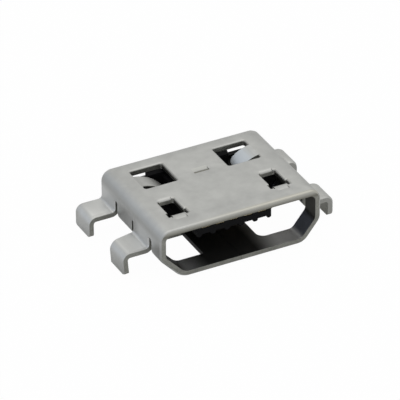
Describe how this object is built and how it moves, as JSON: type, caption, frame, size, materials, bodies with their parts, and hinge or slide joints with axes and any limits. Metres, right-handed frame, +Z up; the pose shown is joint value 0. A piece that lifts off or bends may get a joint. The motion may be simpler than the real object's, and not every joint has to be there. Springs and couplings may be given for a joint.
{
  "type": "micro usb socket",
  "caption": "Board-mounted socket for a small data and charging plug: folded metal shell with four board legs and sprung tabs around a black insulator with a contact tongue.",
  "frame": {"origin": "under the middle of the whole object, level with the underside of the shell's bottom plate", "axes": "+X to the right of the mouth as a plug sees it from the front, +Y from the mouth to the solder tails, +Z up, away from the board"},
  "size_m": [0.0098, 0.006, 0.0024],
  "materials": {
    "shell": "satin bright plating with rolled, slightly lighter edges",
    "insulator": "black moulded, faint satin",
    "contacts": "gold-plated strip, satin"
  },
  "bodies": {
    "root": {"shell": "shell", "insulator": "insulator", "contact_1": "contacts", "contact_2": "contacts", "contact_3": "contacts", "contact_4": "contacts", "contact_5": "contacts"}
  },
  "joints": []
}
